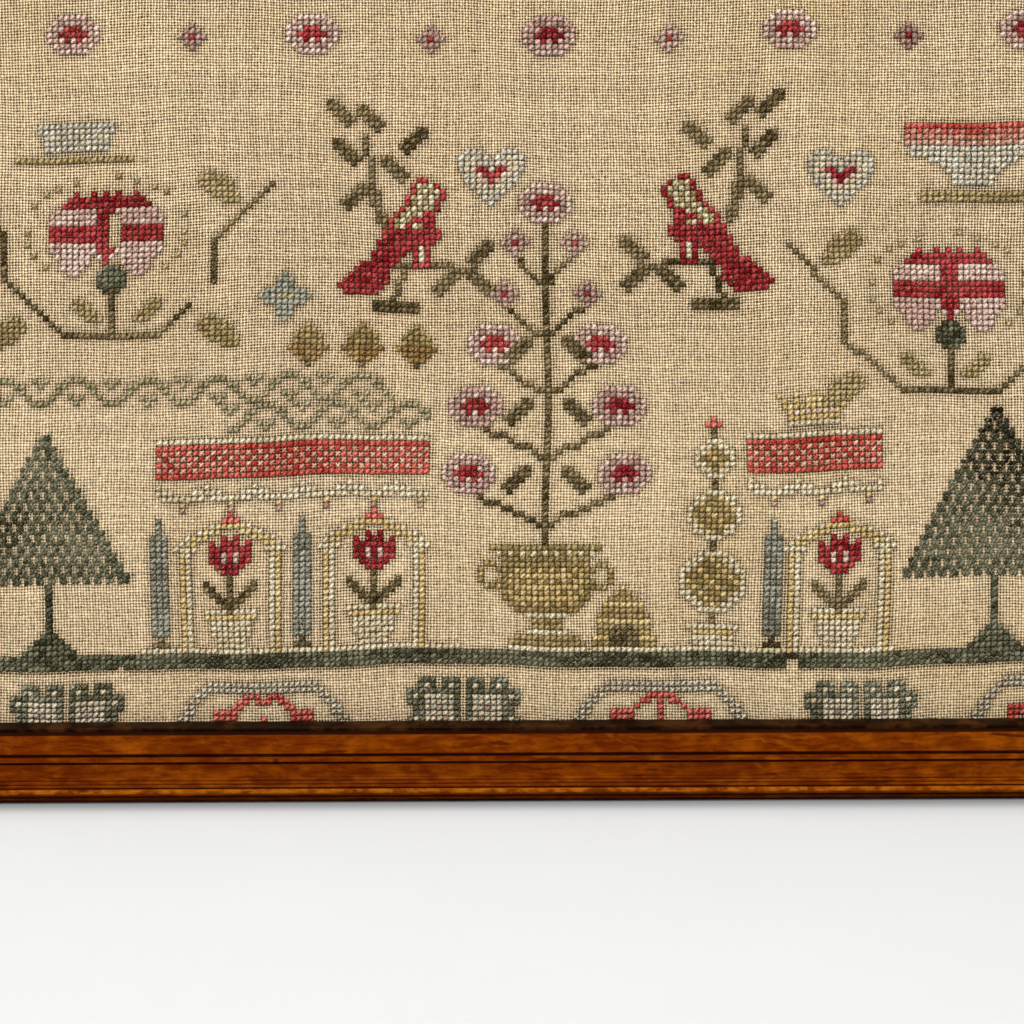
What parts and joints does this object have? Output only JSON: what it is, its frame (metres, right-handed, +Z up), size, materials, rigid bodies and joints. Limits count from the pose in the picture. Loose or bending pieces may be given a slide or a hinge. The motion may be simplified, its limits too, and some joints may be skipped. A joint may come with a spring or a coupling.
{
  "type": "framed cross stitch sampler",
  "caption": "Upright band sampler in wool cross stitch on linen, held behind a dark slip in a narrow moulded maple frame that hangs on a wall.",
  "frame": {"origin": "middle of the back, where the frame and its back board meet the wall", "axes": "+X to the right as one faces the stitching, +Y into the wall, +Z up; the stitched face looks to -Y"},
  "size_m": [0.461, 0.0165, 0.4842],
  "materials": {
    "honey_maple": "old shellac, satin, worn along the edges",
    "ebonised_slip": "ebonised, semi-gloss",
    "unbleached_linen": "open plain weave, matt, with age stains",
    "wool_stitches": "soft worsted wool, matt, many faded colours",
    "aged_pine": "bare, darkened by age"
  },
  "bodies": {
    "root": {"frame_rail_bottom": "honey_maple", "frame_stile_left": "honey_maple", "frame_rail_top": "honey_maple", "frame_stile_right": "honey_maple", "slip_bottom": "ebonised_slip", "slip_left": "ebonised_slip", "slip_top": "ebonised_slip", "slip_right": "ebonised_slip", "linen_ground": "unbleached_linen", "back_board": "aged_pine"}
  },
  "joints": []
}
